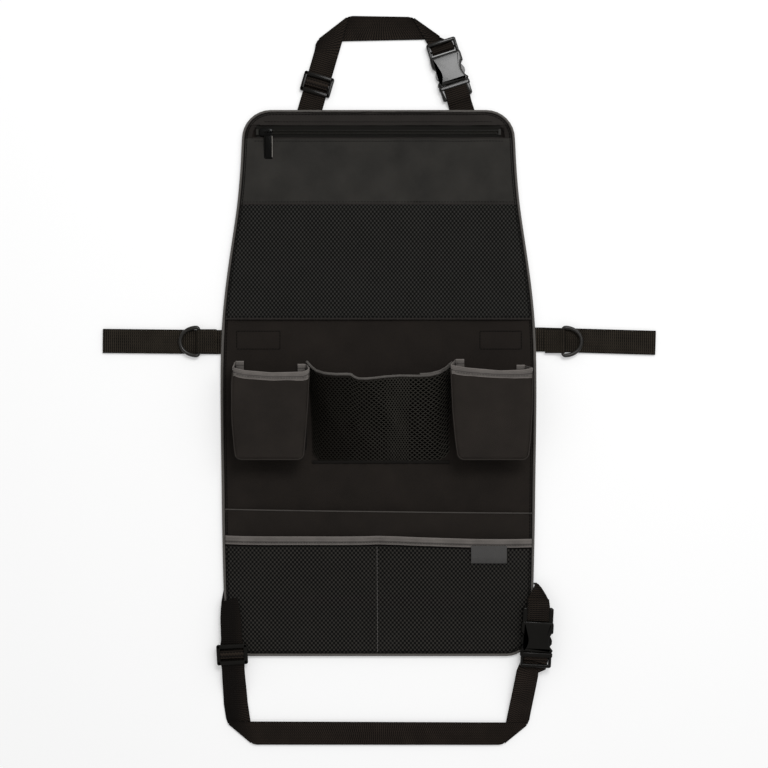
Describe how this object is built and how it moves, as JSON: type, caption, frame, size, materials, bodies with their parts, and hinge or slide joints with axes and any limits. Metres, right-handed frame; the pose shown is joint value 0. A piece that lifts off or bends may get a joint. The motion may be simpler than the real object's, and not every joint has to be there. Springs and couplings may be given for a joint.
{
  "type": "seat back organizer",
  "caption": "Tall fabric seat-back panel with a zip pocket, two bottle pockets, net and mesh pockets, buckled webbing loops at top and bottom, and a strap with a ring on each side.",
  "frame": {"origin": "centre of the panel's back face, which lies on the surface", "axes": "+X to the wearer's right across the panel, +Y up the panel towards the headrest strap, +Z out of the pockets"},
  "size_m": [0.574, 0.7593, 0.041],
  "materials": {
    "lining": "plain woven polyester",
    "foam": "thin open foam",
    "cloth": "plain woven polyester",
    "nylon": "smooth coated nylon",
    "mesh": "stiff knitted mesh",
    "net": "soft open net",
    "binding": "ribbed grosgrain tape",
    "piping": "woven tape over cord",
    "webbing": "flat ribbed webbing",
    "plastic": "smooth moulded",
    "coil": "drawn nylon coil",
    "metal": "black gloss enamel",
    "label": "satin ribbon"
  },
  "bodies": {
    "panel": {"back_lining": "lining", "foam_interlining": "foam", "front_base_cloth": "cloth", "edge_piping": "piping", "upper_pocket_seam_tape": "lining", "top_band_cloth": "cloth", "nylon_zip_panel": "nylon", "upper_mesh_panel": "mesh", "zip_tape_upper": "cloth", "zip_tape_lower": "cloth", "zip_coil_upper": "coil", "zip_coil_lower": "coil", "zip_stop_left": "coil", "zip_stop_right": "coil", "left_pocket_front": "cloth", "left_pocket_gusset": "cloth", "left_pocket_binding": "binding", "right_pocket_front": "cloth", "right_pocket_gusset": "cloth", "right_pocket_binding": "binding", "centre_net_pocket": "net", "centre_net_binding": "binding", "slip_pocket_front": "cloth", "slip_pocket_piping": "piping", "lower_mesh_front": "mesh", "lower_mesh_binding": "binding", "side_label": "label", "top_strap_long": "webbing", "top_strap_short": "webbing", "lower_strap_long": "webbing", "lower_strap_short": "webbing", "left_side_strap": "webbing", "left_ring_loop": "webbing", "right_side_strap": "webbing", "right_ring_loop": "webbing", "top_buckle_plug": "plastic", "lower_buckle_socket": "plastic"},
    "zip_slider": {"zip_slider": "metal"},
    "zip_pull": {"zip_pull": "metal"},
    "left_d_ring": {"left_d_ring": "metal"},
    "right_d_ring": {"right_d_ring": "metal"},
    "top_adjuster": {"top_adjuster": "plastic", "top_adjuster_loop": "webbing"},
    "lower_adjuster": {"lower_adjuster": "plastic", "lower_adjuster_loop": "webbing"},
    "top_buckle": {"top_buckle_socket": "plastic"},
    "lower_buckle": {"lower_buckle_plug": "plastic"}
  },
  "joints": [
    {"name": "zip_slide", "type": "slide", "parent": "panel", "child": "zip_slider", "axis": [1, 0, 0], "range_m": [0, 0.234], "deforming": ["zip_coil_upper", "zip_coil_lower"]},
    {"name": "zip_pull_flip", "type": "hinge", "parent": "zip_slider", "child": "zip_pull", "pos_m": [-0.1142, 0.2605, 0.0102], "axis": [-1, 0, 0], "range_deg": [0, 185]},
    {"name": "left_ring_flip", "type": "hinge", "parent": "panel", "child": "left_d_ring", "pos_m": [-0.1865, 0.0435, 0.0055], "axis": [0, 1, 0], "range_deg": [0, 165]},
    {"name": "right_ring_flip", "type": "hinge", "parent": "panel", "child": "right_d_ring", "pos_m": [0.1913, 0.0435, 0.0055], "axis": [0, -1, 0], "range_deg": [0, 165]},
    {"name": "top_adjuster_slide", "type": "slide", "parent": "panel", "child": "top_adjuster", "axis": [0.2798, 0.9601, 0], "range_m": [-0.012, 0.032]},
    {"name": "lower_adjuster_slide", "type": "slide", "parent": "panel", "child": "lower_adjuster", "axis": [-0.0532, 0.9986, 0], "range_m": [0, 0.03]},
    {"name": "top_buckle_release", "type": "slide", "parent": "panel", "child": "top_buckle", "axis": [-0.304, 0.9527, 0], "range_m": [0, 0.03], "deforming": ["top_strap_long", "top_buckle_plug"]},
    {"name": "lower_buckle_release", "type": "slide", "parent": "panel", "child": "lower_buckle", "axis": [-0.0506, -0.9987, 0], "range_m": [0, 0.03], "deforming": ["lower_strap_long", "lower_buckle_plug"]}
  ]
}
